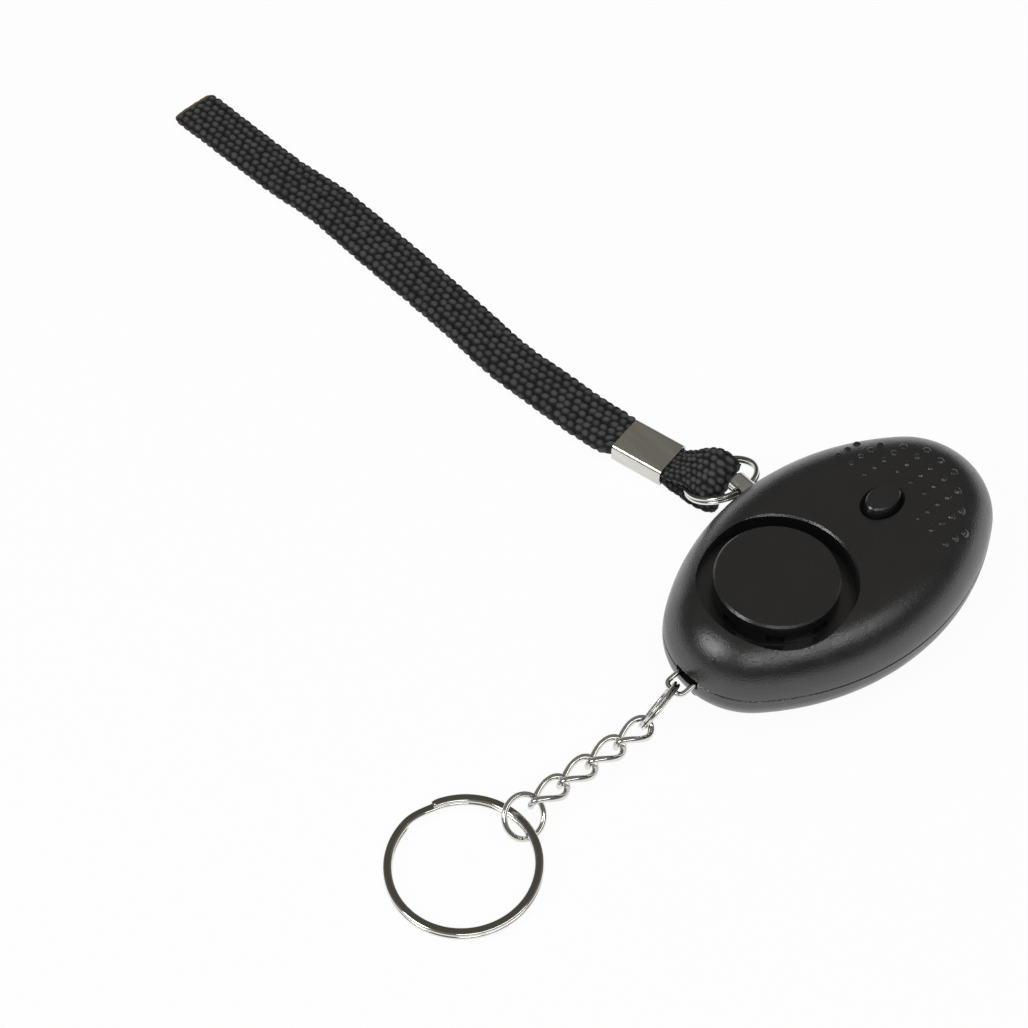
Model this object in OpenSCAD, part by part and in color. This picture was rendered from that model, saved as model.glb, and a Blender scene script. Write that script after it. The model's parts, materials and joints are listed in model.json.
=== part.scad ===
// Personal safety alarm: an oval two-shell body with a siren and a test button, a short
// key chain at one end, and a pull pin with a braided wrist strap at one side.
// X runs along the body with the chain at -X, the pin leaves at +Y, and Z is up
// from the flat back. Sizes in millimetres.

/* [Body] */
// length of the oval body
body_l = 64.6; // [60:0.2:74]
// width of the oval body
body_w = 40.4; // [38.4:0.2:46]
// height of the seam between the two shells
seam_h = 7.7; // [7.2:0.1:9]
// height of the shoulder above the seam
shoulder_h = 9.2; // [8.8:0.1:11]
// edge radius round the back
rear_r = 6.5; // [5:0.1:7]
// thickness of the shell walls
wall = 1.8; // [1.4:0.1:2.2]
// thickness of the rear floor
floor_t = 1.6; // [1.2:0.1:2]
// bevel on each shell at the seam
seam_bevel = 0.22; // [0.1:0.02:0.4]
// height of the locating lip above the seam
lip_h = 0.8; // [0.5:0.1:1.2]
// clearance round the locating lip
lip_clear = 0.1; // [0.05:0.01:0.2]

/* [Shell screws] */
// distance of the screws from each end
screw_end = 8; // [7:0.1:9]
// distance of the screws from the middle line
screw_y = 7.5; // [7:0.1:8.5]
// diameter of the screw shank
screw_d = 1.8; // [1.5:0.1:2.2]
// diameter of the screw head
screw_head_d = 3.4; // [3:0.1:3.8]
// height of the screw head
screw_head_h = 1.3; // [1:0.1:1.6]
// depth of the screw seat in the back
screw_seat = 3; // [2.4:0.1:4]
// length of the screw shank
screw_l = 7.5; // [6.5:0.1:8]
// clearance round the screws
screw_clear = 0.05; // [0.02:0.01:0.1]
// wall round the screw holes
screw_wall = 0.8; // [0.6:0.1:1]

/* [Siren] */
// distance of the siren centre from the chain end
siren_end = 19.3; // [18.8:0.1:20.5]
// radius of the round well
well_r = 13; // [12.4:0.1:13.4]
// wall of the well
well_wall = 1.4; // [1:0.1:1.6]
// depth of the well below the top
well_depth = 3.7; // [3.2:0.1:4.2]
// bevel on the rim of the well
well_bevel = 0.3; // [0.1:0.05:0.5]
// radius of the siren cap
cap_r = 10.3; // [9.6:0.1:10.8]
// rise of the cap above the top
cap_rise = 0.9; // [0.4:0.1:1.6]
// bevel on the rim of the cap
cap_bevel = 0.35; // [0.1:0.05:0.6]
// thickness of the cap top
cap_t = 1.5; // [1:0.1:2]
// wall of the cap
cap_wall = 1.2; // [0.9:0.1:1.5]
// thickness of the cap flange
flange_t = 1; // [0.7:0.1:1.3]
// how far the flange reaches under the rim of the well
flange_lap = 0.5; // [0.3:0.05:0.7]
// clearance round the flange
flange_clear = 0.08; // [0.04:0.01:0.15]
// number of sound windows in the cap wall
windows = 8; // [4:1:10]
// width of a sound window
window_w = 3; // [2:0.1:4]
// height of a sound window
window_h = 1.8; // [1:0.1:2.2]

/* [Piezo sounder] */
// radius of the brass diaphragm
piezo_r = 10; // [9:0.1:10.4]
// thickness of the brass diaphragm
piezo_t = 0.25; // [0.15:0.05:0.4]
// radius of the ceramic disc
ceramic_r = 7; // [5:0.1:8]
// thickness of the ceramic disc
ceramic_t = 0.25; // [0.15:0.05:0.4]
// wall of the holder ring round the diaphragm
holder_wall = 0.9; // [0.7:0.1:1.1]
// width of the ledge under the diaphragm
ledge_w = 0.9; // [0.5:0.1:1.5]
// height of the holder ring
holder_h = 4.2; // [3.6:0.1:4.6]
// height of the ledge above the holder foot
ledge_h = 2; // [1.5:0.1:2.6]
// clearance round the diaphragm
piezo_clear = 0.1; // [0.05:0.01:0.2]
// width of the slot for the wires
wire_slot = 5.6; // [5:0.1:6.5]
// diameter of the wires
wire_d = 0.6; // [0.4:0.05:0.7]
// radius of the posts under the holder
holder_post_r = 0.9; // [0.6:0.1:1]

/* [Push button] */
// distance of the button centre from the round end
button_end = 21.4; // [20.8:0.1:22.4]
// length of the button at its foot
button_l = 7.3; // [6.6:0.1:8]
// width of the button at its foot
button_w = 5.1; // [4.6:0.1:5.6]
// rise of the button above the top
button_rise = 1.6; // [1:0.1:2]
// how much the button narrows to its top on each side
button_draft = 0.25; // [0.05:0.05:0.4]
// bevel on the rim of the button
button_bevel = 0.25; // [0.1:0.05:0.4]
// clearance round the button
button_clear = 0.15; // [0.1:0.01:0.25]
// reach of the button flange under the shell
button_lip = 0.9; // [0.6:0.1:1.2]
// thickness of the button flange
button_lip_t = 0.7; // [0.5:0.1:0.9]
// how far the button can be pressed
button_travel = 0.5; // [0.3:0.05:0.6]
// bevel of the dish round the button
dish = 0.45; // [0.2:0.05:0.7]

/* [Grip bumps] */
// distance of the outermost bumps from the round end
bump_end = 7.8; // [7:0.1:9]
// spacing of the bumps along the body
bump_pitch = 2.3; // [2:0.05:2.6]
// spacing of the rows across the body
bump_row = 3.05; // [2.8:0.05:3.2]
// rows on each side of the middle row
bump_rows = 4; // [2:1:4]
// radius of the outermost bumps
bump_r = 0.68; // [0.5:0.02:0.8]
// height of the outermost bumps
bump_h = 0.34; // [0.2:0.02:0.45]

/* [Circuit board] */
// length of the board
board_l = 16.5; // [15.5:0.1:17]
// width of the board
board_w = 24; // [23:0.1:25]
// thickness of the board
board_t = 1; // [0.8:0.1:1.2]
// radius of the posts that hold the board
board_post_r = 1.2; // [0.8:0.1:1.4]
// distance of the posts from the board edges
board_post_in = 1.5; // [1.2:0.1:2]
// width of the switch case
switch_w = 6; // [5:0.1:6.4]
// height of the switch case
switch_h = 3.3; // [3:0.1:3.5]
// diameter of the switch plunger
plunger_d = 3.4; // [2.6:0.1:3.8]
// depth of the plunger in the switch case
plunger_in = 1; // [0.6:0.1:1.5]
// clearance round and above the plunger
plunger_clear = 0.05; // [0.03:0.01:0.1]
// diameter of the coil
coil_d = 5.4; // [4.6:0.1:5.8]
// height of the coil
coil_h = 3.8; // [3:0.1:4]
// diameter of the coil middle
coil_core_d = 2.4; // [1.6:0.1:3]
// thickness of the coil flanges
coil_flange_t = 0.6; // [0.4:0.1:0.8]
// length of the driver chip
chip_l = 5; // [4:0.1:5.4]
// width of the driver chip
chip_w = 4; // [3.4:0.1:4.4]
// height of the driver chip
chip_h = 1.5; // [1:0.1:1.8]
// length of the transistor
transistor_l = 4.5; // [3:0.1:4.8]
// width of the transistor
transistor_w = 2.5; // [1.5:0.1:3]
// height of the transistor
transistor_h = 1.5; // [1:0.1:1.8]

/* [Battery] */
// diameter of a cell
cell_d = 20; // [19.5:0.1:20.2]
// height of a cell
cell_h = 3.2; // [2.8:0.1:3.3]
// thickness of the contact plates
contact_t = 0.3; // [0.2:0.05:0.4]
// clearance round the cells
cell_clear = 0.2; // [0.1:0.05:0.3]
// wall of the battery ring
cell_wall = 0.8; // [0.6:0.1:1]
// height of the battery ring above the floor
cell_ring_h = 4.2; // [3:0.1:4.4]
// width of the contact straps
contact_w = 5; // [3:0.1:7]

/* [Chain notch] */
// clearance between the wire loop and the notch
notch_clear = 0.2; // [0.15:0.01:0.3]
// height of the notch above the seam
notch_h = 0.7; // [0.65:0.05:1]
// depth of the notch below the seam
notch_low = 1.3; // [1.25:0.05:1.6]
// diameter of the chain post
post_d = 2.4; // [1.8:0.1:2.4]
// distance of the post from the chain end
post_end = 3.1; // [2.8:0.1:3.6]
// depth of the post socket in the upper shell
post_socket = 0.6; // [0.4:0.1:0.9]
// wall round the notch
notch_wall = 1.2; // [0.9:0.1:1.4]
// height of the block over the notch
notch_roof = 1.6; // [1.2:0.1:2]
// diameter of the loop wire
loop_wire = 0.9; // [0.7:0.05:1]
// drop of the loop middle below the seam at the post
loop_drop = 0.25; // [0.2:0.05:0.35]
// slope of the loop
loop_slope = 7; // [4:0.5:7.5]
// width of the loop between wire middles
loop_w = 3.5; // [3.4:0.05:4]
// length of the loop outside the body
loop_out = 2.95; // [2.8:0.05:3.4]
// corner radius of the loop
loop_corner = 1; // [0.7:0.05:1.2]

/* [Chain] */
// clearance between linked wires
link_clear = 0.12; // [0.1:0.01:0.2]
// outside diameter of the small split ring
chain_ring_od = 9.6; // [9.2:0.1:9.8]
// radial width of the small ring wire
chain_ring_w = 0.9; // [0.7:0.05:1]
// height of one turn of the small ring
chain_ring_t = 0.62; // [0.5:0.02:0.66]
// slope of the small ring
chain_slope = 34; // [31:1:36]
// lean of the small ring
chain_lean = 64; // [60:1:67]
// distance of the first link's end from the middle of the small ring wire
hook_gap = 1.3; // [1.25:0.05:1.5]
// angle of the first link's end above the small ring wire
hook_rise = 25; // [21:1:30]
// sideways shift of the first link's end
hook_shift = 0.5; // [0.45:0.05:0.6]
// rise of the chain along its length
chain_rise = 1.5; // [0.8:0.1:2.2]
// sideways turn of the chain
chain_turn = 0.9; // [0.5:0.1:1.5]
// diameter of the link wire
link_wire = 1.1; // [0.8:0.05:1.15]
// pitch of the links
link_pitch = 5.9; // [5.6:0.02:6.1]
// width of a link between wire middles
link_w = 3.9; // [3.5:0.05:4]
// twist of a link from its middle to one end
link_twist = 60; // [45:1:62]
// roll of the links about the line of the chain
link_roll = 20; // [0:1:24]
// outside diameter of the jump ring
jump_od = 8; // [7.8:0.1:8.8]
// diameter of the jump ring wire
jump_wire = 1; // [0.8:0.05:1.05]
// clearance between the jump ring and the last link
jump_clear = 0.42; // [0.3:0.02:0.5]
// outside diameter of the key ring
key_od = 25; // [23:0.5:32]
// distance of the key ring wire behind the middle of the jump ring
key_back = 0.55; // [0.4:0.05:0.6]
// radial width of the key ring wire
key_w = 1.45; // [1.2:0.05:1.5]
// height of one turn of the key ring
key_t = 0.9; // [0.75:0.05:0.95]

/* [Pull pin] */
// offset of the pin from the button along the body
pin_x = -9.5; // [-10:0.1:-9.2]
// diameter of the pin
pin_d = 3.7; // [3.4:0.1:3.8]
// running clearance round the pin
pin_clear = 0.08; // [0.04:0.01:0.1]
// distance of the full part of the pin from the middle line
pin_mid = 12.7; // [12.3:0.1:13]
// length of the tapered nose
nose_l = 3.5; // [3.2:0.1:3.7]
// diameter of the nose at its foot
nose_d = 1.8; // [1.4:0.1:1.9]
// diameter of the nose at its tip
nose_tip_d = 0.9; // [0.6:0.1:1]
// distance of the cross hole from the body
hole_out = 1.4; // [1.35:0.05:1.8]
// diameter of the cross hole
hole_d = 2.3; // [2.2:0.05:2.4]
// metal left beyond the cross hole
hole_end = 1.35; // [1:0.05:1.6]
// length of the pin guide
guide_l = 5.6; // [5:0.1:5.8]
// wall of the pin guide beside the pin
guide_wall = 1.2; // [1:0.1:1.4]
// gap between the pin guide and the shell wall
guide_gap = 0.2; // [0.1:0.05:0.4]
// length of the contact arms
arm_l = 3.9; // [3:0.1:4]
// height of the contact arms
arm_h = 3; // [2:0.1:3.4]
// gap between each arm and the nose
arm_gap = 0.1; // [0.05:0.01:0.15]

/* [Pin ring and strap] */
// outside diameter of the pin ring
pin_ring_od = 13.4; // [12.8:0.1:13.8]
// radial width of the pin ring wire
pin_ring_w = 0.9; // [0.7:0.05:0.95]
// height of one turn of the pin ring
pin_ring_t = 0.72; // [0.6:0.02:0.76]
// slope of the pin ring
pin_ring_slope = 27; // [25:0.5:27.5]
// width of the strap
strap_w = 9.4; // [8.4:0.1:10]
// thickness of the strap
strap_t = 2.2; // [1.8:0.1:2.4]
// width of the bunched fold of the strap
fold_w = 7.2; // [6.8:0.1:7.4]
// length of the strap clamp
clamp_l = 10; // [8:0.1:11]
// width inside the strap clamp
clamp_in_w = 7.3; // [6.9:0.1:7.6]
// height inside the strap clamp
clamp_in_h = 3.3; // [3:0.1:3.6]
// sheet thickness of the strap clamp
clamp_wall = 0.35; // [0.25:0.05:0.5]
// clearance of the strap in the clamp
clamp_clear = 0.1; // [0.06:0.01:0.15]

/* [Hidden] */
$fn = 72;
half_l = body_l / 2;
half_w = body_w / 2;
end_r = end_radius(half_l, half_w);
top_h = seam_h + shoulder_h;
ceil_h = top_h - wall;
siren_x = siren_end - half_l;
button_x = half_l - button_end;
screw_x = half_l - screw_end;
well_z = top_h - well_depth;
flange_r = well_r + flange_lap;
seat_z = well_z;
flange_z = seat_z - flange_t;
holder_z = flange_z - holder_h;
holder_r = piezo_r + piezo_clear + holder_wall;
ledge_z = holder_z + ledge_h;
wire_y = -3.6;
cell_z = floor_t + contact_t;
plate_z = cell_z + 2 * cell_h;
board_z = plate_z + contact_t;
board_top = board_z + board_t;
board_x = button_x - 5.9;
cell_r = cell_d / 2;
ring_in = cell_r + cell_clear;
plunger_top = board_top + switch_h + button_travel + 0.3;
stem_z = plunger_top + plunger_clear;
lip_z = ceil_h - button_lip_t - plunger_clear;
coil_x = button_x + 5.4;
coil_y = board_w / 2 - 6.4;
chip_x = button_x + 5.6;
chip_y = 6 - board_w / 2;
transistor_x = button_x - 2.5;
transistor_y = board_w / 2 - 5.2;
notch_half = loop_w / 2 + loop_wire / 2 + notch_clear;
post_x = post_end - half_l;
loop_z = seam_h - loop_drop;
loop_l = post_end + loop_out;
bar_x = post_x - loop_l * cos(loop_slope);
bar_z = loop_z - loop_l * sin(loop_slope);
pin_at = button_x + pin_x;
pin_r = pin_d / 2;
pin_z = seam_h;
pin_tip_y = pin_mid - nose_l - (pin_d - nose_d) / 2;
nose_y = pin_tip_y + nose_l;
guide_y = nose_y - 0.25;
arm_y = guide_y - 0.2;
arm_x = nose_d / 2 + arm_gap;
hole_y = half_w + hole_out;
pin_end_y = hole_y + hole_d / 2 + hole_end;

// middle radius of a split ring and the place of the next wire in it
chain_ring_in = chain_ring_od / 2 - chain_ring_w;
ring_hang = chain_ring_in - loop_wire / 2 - link_clear;
ring_reach = ring_hang + chain_ring_in + chain_ring_w / 2;
link_r = link_wire / 2;
link_span = link_pitch + link_wire + link_clear;
hook_x = bar_x - ring_reach * cos(chain_slope) + hook_gap * cos(hook_rise);
hook_z = bar_z - ring_reach * sin(chain_slope) + hook_gap * sin(hook_rise);
chain_dir = [-cos(chain_rise) * cos(chain_turn), cos(chain_rise) * sin(chain_turn), sin(chain_rise)];
hook = [hook_x, -hook_shift, hook_z];
jump_r = (jump_od - jump_wire) / 2;
jump_z = jump_r * sin(45) + jump_wire / 2 + 0.02;
jump_at = hook + chain_dir * (link_span + 3 * link_pitch - link_r - jump_wire / 2 - jump_clear);
jump_up = (jump_at[2] - jump_z) / sin(45);
jump_x = jump_at[0] - sqrt(jump_r * jump_r - jump_up * jump_up);
jump_y = jump_at[1] - jump_up * cos(45);
key_mid = (key_od - key_w) / 2;
key_near_x = jump_x - key_back;
key_near_y = jump_y + 0.1;
key_near_z = jump_z - 0.85;
key_tilt = asin((key_near_z - key_t - 0.05) / (2 * key_mid));

// strap route, measured from the middle of the pin's cross hole on the floor
strap_route = [
    [-3.88, 20, 2.25], [-4.35, 22.05, 2.25], [-4.95, 24.65, 2.25], [-5.4, 28.3, 1.9], [-5.9, 33.6, 1.35],
    [-6.7, 42.1, 1.2], [-7.7, 52.7, 1.2], [-7.5, 62.1, 1.2], [-7.5, 71.4, 1.2], [-7.7, 86.4, 1.2],
    [-8, 102.7, 1.2], [-9.5, 113.7, 1.2], [-10.2, 122.7, 1.2], [-11.4, 140.7, 1.2]];
// fold of the strap through the pin ring, as side shift, distance from the clamp middle,
// height, roll and thickness
fold_route = [
    [0, 0, 3.05, 0, 1.5], [0, 5, 3.05, 0, 1.5], [0, 6.6, 3.5, 4, 1.6], [0, 8.4, 4.5, 12, 1.6],
    [0, 10.2, 5.5, 20, 1.6], [-0.2, 12, 6.2, 30, 1.6], [-0.5, 14, 6.4, 37, 1.6], [-0.2, 15.2, 5.2, 39, 1.5],
    [0.2, 15.3, 3.8, 36, 1.4], [0.3, 14.2, 2.6, 28, 1.2], [0.1, 12.4, 1.7, 14, 1.1], [0, 10.4, 0.95, 4, 1],
    [0, 8.4, 0.57, 0, 0.9], [0, 6.6, 0.75, 0, 1.1], [0, 5, 1.45, 0, 1.5], [0, 0, 1.45, 0, 1.5]];
clamp_turn = 13;
clamp_x = -3.8;
clamp_y = 19.65;
clamp_z = clamp_in_h / 2 + clamp_wall + 0.25;

// radii of the ends and the long sides of a four-arc oval whose arcs meet on a 3-4-5 slope
function end_radius(a, b) = (3 * b - a) / 2;
function side_radius(a, b) = 5 * b - 4 * end_radius(a, b);

// distance of a plan point from the edge of the body, and the top height there
function edge_in(x, y) =
    let (rs = side_radius(half_l, half_w), cy = rs - half_w)
    4 * abs(x) < 3 * (abs(y) + cy)
        ? rs - norm([x, abs(y) + cy])
        : end_r - norm([abs(x) - half_l + end_r, y]);
function top_at(d) = d >= shoulder_h ? top_h
    : seam_h + sqrt(shoulder_h * shoulder_h - (shoulder_h - d) * (shoulder_h - d));

// smooth curve through hand-chosen points
function bend(a, b, c, d, t) = 0.5 * (2 * b + (c - a) * t + (2 * a - 5 * b + 4 * c - d) * t * t
    + (3 * b - a - 3 * c + d) * t * t * t);
function curve(p, n) = [for (i = [0:len(p) - 2]) for (k = [0:(i == len(p) - 2 ? n : n - 1)])
    bend(p[max(i - 1, 0)], p[i], p[i + 1], p[min(i + 2, len(p) - 1)], k / n)];
function unit(v) = v / norm(v);
function along(p, i) = unit(p[min(i + 1, len(p) - 1)] - p[max(i - 1, 0)]);
function soft(c) = sign(c) * pow(abs(c), 0.7);
// flat oval ring of points about p, with s across and n through the strap
function flat_ring(p, s, n, w, t, k) = [for (i = [0:k - 1])
    p + s * (w / 2 * soft(cos(360 * i / k))) + n * (t / 2 * soft(sin(360 * i / k)))];
function round_ring(p, s, n, r, k) = [for (i = [0:k - 1])
    p + s * (r * cos(360 * i / k)) + n * (r * sin(360 * i / k))];

module skin(rings, closed = false) {
    n = len(rings[0]);
    m = len(rings);
    last = closed ? m - 1 : m - 2;
    sides = [for (k = [0:last]) for (i = [0:n - 1]) for (f = [0, 1])
        let (a = k * n, b = ((k + 1) % m) * n, j = (i + 1) % n)
        f == 0 ? [a + i, b + i, a + j] : [a + j, b + i, b + j]];
    caps = closed ? [] : [for (i = [1:n - 2]) for (f = [0, 1])
        f == 0 ? [0, i, i + 1] : [(m - 1) * n, (m - 1) * n + i + 1, (m - 1) * n + i]];
    polyhedron(points = [for (r = rings) each r], faces = concat(sides, caps), convexity = 8);
}

// sweeps a section, drawn from the axis out to $edge, round a four-arc oval
module oval_sweep(a, b) {
    r = end_radius(a, b);
    rs = side_radius(a, b);
    d = rs - b;
    for (s = [0, 180]) rotate([0, 0, s]) {
        intersection() {
            translate([a - r, 0, 0]) rotate_extrude($fn = 144) let ($edge = r) children();
            translate([a - r, 0, -20]) linear_extrude(80)
                polygon([[0, 0], [3 * a, -4 * a], [6 * a, -4 * a], [6 * a, 4 * a], [3 * a, 4 * a]]);
        }
        intersection() {
            translate([0, -d, 0]) rotate_extrude($fn = 240) let ($edge = rs) children();
            translate([0, 0, -20]) linear_extrude(80) polygon([
                [-0.75 * (d - 0.1 * b), -0.1 * b], [0.75 * (d - 0.1 * b), -0.1 * b],
                [0.75 * (d + 2 * b), 2 * b], [-0.75 * (d + 2 * b), 2 * b]]);
        }
    }
}

// section of the upper shell, rounded at the top
module front_round(z0, z1, r) {
    difference() {
        translate([0, z0]) square([$edge, z1 - z0]);
        difference() {
            translate([$edge - r, z1 - r]) square([r + 1, r + 1]);
            translate([$edge - r, z1 - r]) circle(r);
        }
    }
}

module front_section(z0, z1, r, bevel) {
    intersection() {
        front_round(z0, z1, r);
        polygon([[0, z0], [$edge - bevel, z0], [$edge, z0 + bevel], [$edge, z1 + 1], [0, z1 + 1]]);
    }
}

// section of the lower shell, rounded at the back
module rear_round(z0, z1, r) {
    difference() {
        translate([0, z0]) square([$edge, z1 - z0]);
        difference() {
            translate([$edge - r, z0 - 1]) square([r + 1, r + 1]);
            translate([$edge - r, z0 + r]) circle(r);
        }
    }
}

module rear_section(z0, z1, r, bevel) {
    intersection() {
        rear_round(z0, z1, r);
        polygon([[0, z0 - 1], [$edge, z0 - 1], [$edge, z1 - bevel], [$edge - bevel, z1], [0, z1]]);
    }
}

module plain_section(z0, z1) {
    translate([0, z0]) square([$edge, z1 - z0]);
}

module front_outside() {
    oval_sweep(half_l, half_w) front_section(seam_h, top_h, shoulder_h, seam_bevel);
}

module rear_outside() {
    oval_sweep(half_l, half_w) rear_section(0, seam_h, rear_r, seam_bevel);
}

module bumps() {
    for (k = [-bump_rows:bump_rows]) for (j = [0:4]) {
        x = half_l - bump_end - bump_pitch * (max(0, abs(k) - 1) + j);
        y = k * bump_row;
        near = abs(k) < 2 ? button_x + button_l / 2 + 2 : button_x + 1;
        r = bump_r * (1 - 0.1 * j);
        h = bump_h * (1 - 0.1 * j);
        ball = (r * r + h * h) / (2 * h);
        if (x > near) translate([x, y, top_at(edge_in(x, y)) + h - ball]) sphere(ball, $fn = 24);
    }
}

module at_screws() {
    for (sx = [-1, 1]) for (sy = [-1, 1]) translate([sx * screw_x, sy * screw_y, 0]) children();
}

module at_board_posts() {
    for (px = [board_x + board_post_in, board_x + board_l - board_post_in]) for (s = [-1, 1])
        translate([px, s * (board_w / 2 - board_post_in), 0]) children();
}

module pin_bore(r) {
    translate([pin_at, 0, pin_z]) rotate([-90, 90, 0]) cylinder(r = r, h = half_w + 2);
}

module front_shell() {
    color("dimgray") difference() {
        union() {
            difference() {
                front_outside();
                oval_sweep(half_l - wall, half_w - wall)
                    front_round(seam_h - 1, ceil_h, shoulder_h - wall);
                oval_sweep(half_l - wall / 2, half_w - wall / 2)
                    plain_section(seam_h - 1, seam_h + lip_h + lip_clear);
            }
            bumps();
            intersection() {
                front_outside();
                union() {
                    translate([siren_x, 0, flange_z]) cylinder(r = well_r + well_wall, h = 20);
                    at_screws() translate([0, 0, seam_h + lip_h + 0.2])
                        cylinder(r = screw_d / 2 + screw_wall, h = 20, $fn = 36);
                    at_board_posts() translate([0, 0, board_top])
                        cylinder(r = board_post_r, h = 20, $fn = 36);
                    translate([-half_l, -notch_half - notch_wall, seam_h])
                        cube([post_end + notch_half + notch_wall, 2 * (notch_half + notch_wall),
                            notch_h + notch_roof]);
                }
            }
        }
        translate([siren_x, 0, flange_z - 1]) cylinder(r = flange_r + flange_clear, h = flange_t + 1);
        translate([siren_x, 0, flange_z - 1]) cylinder(r = well_r, h = 20);
        translate([siren_x, 0, top_h - well_bevel])
            cylinder(r1 = well_r, r2 = well_r + 2 * well_bevel, h = 2 * well_bevel);
        at_screws() translate([0, 0, seam_h - 1])
            cylinder(r = screw_d / 2 + screw_clear, h = screw_seat + screw_l - seam_h + 1.3, $fn = 36);
        translate([button_x, 0, 0]) {
            oval_sweep(button_l / 2 + button_clear, button_w / 2 + button_clear)
                plain_section(ceil_h - 3, top_h + 1);
            oval_sweep(button_l / 2 + button_clear, button_w / 2 + button_clear)
                polygon([[0, top_h - dish], [$edge, top_h - dish], [$edge + 2 * dish, top_h + dish],
                    [0, top_h + dish]]);
        }
        translate([-half_l - 1, -notch_half, seam_h - 1]) cube([post_end + 1, 2 * notch_half, notch_h + 1]);
        translate([post_x, 0, seam_h - 1]) cylinder(r = notch_half, h = notch_h + 1);
        translate([post_x, 0, seam_h])
            cylinder(r = post_d / 2 + notch_clear / 2, h = notch_h + post_socket, $fn = 36);
        pin_bore(pin_r + 2 * pin_clear);
    }
}

module rear_shell() {
    color("dimgray") difference() {
        union() {
            difference() {
                rear_outside();
                oval_sweep(half_l - wall, half_w - wall)
                    rear_round(floor_t, seam_h + 1, rear_r - wall);
            }
            difference() {
                oval_sweep(half_l - wall / 2 - lip_clear, half_w - wall / 2 - lip_clear)
                    plain_section(seam_h - 1, seam_h + lip_h);
                oval_sweep(half_l - wall, half_w - wall)
                    plain_section(seam_h - 2, seam_h + 2);
                translate([-half_l, -notch_half - notch_wall - lip_clear, seam_h])
                    cube([post_end + notch_half, 2 * (notch_half + notch_wall + lip_clear), 5]);
            }
            intersection() {
                rear_outside();
                union() {
                    at_screws()
                        cylinder(r = screw_head_d / 2 + screw_clear + screw_wall, h = seam_h, $fn = 36);
                    translate([-half_l, -notch_half - notch_wall, 0])
                        cube([post_end + notch_half + notch_wall, 2 * (notch_half + notch_wall), seam_h]);
                    translate([pin_at - pin_r - guide_wall, guide_y, 0])
                        cube([pin_d + 2 * guide_wall, guide_l, pin_z - pin_r - guide_wall]);
                }
            }
            at_board_posts() translate([0, 0, floor_t / 2])
                cylinder(r = board_post_r, h = board_z - floor_t / 2, $fn = 36);
            for (t = [60, 180, 300]) translate([siren_x, 0, 0]) rotate([0, 0, t])
                translate([holder_r - 0.9, 0, floor_t / 2])
                    cylinder(r = holder_post_r, h = holder_z - floor_t / 2, $fn = 36);
            translate([button_x, 0, floor_t / 2]) difference() {
                cylinder(r = ring_in + cell_wall, h = floor_t / 2 + cell_ring_h);
                translate([0, 0, -1]) cylinder(r = ring_in, h = 20);
                translate([0, -contact_w / 2 - 0.4, floor_t / 2]) cube([20, contact_w + 0.8, 20]);
            }
            translate([post_x, 0, 1])
                cylinder(r = post_d / 2, h = seam_h - 1 + notch_h + post_socket - 0.1, $fn = 36);
        }
        at_screws() {
            translate([0, 0, -1])
                cylinder(r = screw_head_d / 2 + screw_clear, h = screw_seat + 1, $fn = 36);
            translate([0, 0, -1]) cylinder(r = screw_d / 2 + screw_clear, h = seam_h + 3, $fn = 36);
        }
        pin_bore(pin_r + 2 * pin_clear);
        difference() {
            union() {
                translate([-half_l - 1, -notch_half, seam_h - notch_low])
                    cube([post_end + 1, 2 * notch_half, 8]);
                translate([post_x, 0, seam_h - notch_low]) cylinder(r = notch_half, h = 8);
            }
            translate([post_x, 0, 0]) cylinder(r = post_d / 2, h = 20, $fn = 36);
        }
    }
}

module shell_screws() {
    color("silver") at_screws() difference() {
        union() {
            translate([0, 0, screw_seat - screw_head_h])
                cylinder(r = screw_head_d / 2, h = screw_head_h, $fn = 36);
            translate([0, 0, screw_seat - 0.1]) cylinder(r = screw_d / 2, h = screw_l + 0.1, $fn = 36);
        }
        for (t = [0, 90]) rotate([0, 0, t]) translate([-0.25, -0.9, screw_seat - screw_head_h - 0.1])
            cube([0.5, 1.8, 0.6]);
    }
}

module siren_cap() {
    color("black") translate([siren_x, 0, 0]) difference() {
        rotate_extrude($fn = 144) polygon([
            [0, top_h + cap_rise - cap_t], [cap_r - cap_wall, top_h + cap_rise - cap_t],
            [cap_r - cap_wall, flange_z], [flange_r, flange_z], [flange_r, seat_z], [cap_r, seat_z],
            [cap_r, top_h + cap_rise - cap_bevel], [cap_r - cap_bevel, top_h + cap_rise],
            [0, top_h + cap_rise]]);
        for (k = [0:windows - 1]) rotate([0, 0, 360 * k / windows])
            translate([cap_r - cap_wall - 1, -window_w / 2, seat_z + 0.3])
                cube([cap_wall + 2, window_w, window_h]);
    }
}

module piezo_holder() {
    color("ivory") translate([siren_x, 0, 0]) difference() {
        rotate_extrude($fn = 144) polygon([
            [holder_r - holder_wall - piezo_clear - ledge_w, holder_z], [holder_r, holder_z],
            [holder_r, flange_z], [holder_r - holder_wall, flange_z], [holder_r - holder_wall, ledge_z],
            [holder_r - holder_wall - piezo_clear - ledge_w, ledge_z]]);
        translate([holder_r / 2, wire_y - wire_slot / 2, ledge_z + piezo_t + 0.1])
            cube([holder_r, wire_slot, holder_h]);
    }
}

module piezo_diaphragm() {
    color("gold") translate([siren_x, 0, ledge_z]) cylinder(r = piezo_r, h = piezo_t);
}

module piezo_ceramic() {
    color("white") translate([siren_x, 0, ledge_z + piezo_t]) cylinder(r = ceramic_r, h = ceramic_t);
}

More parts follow.
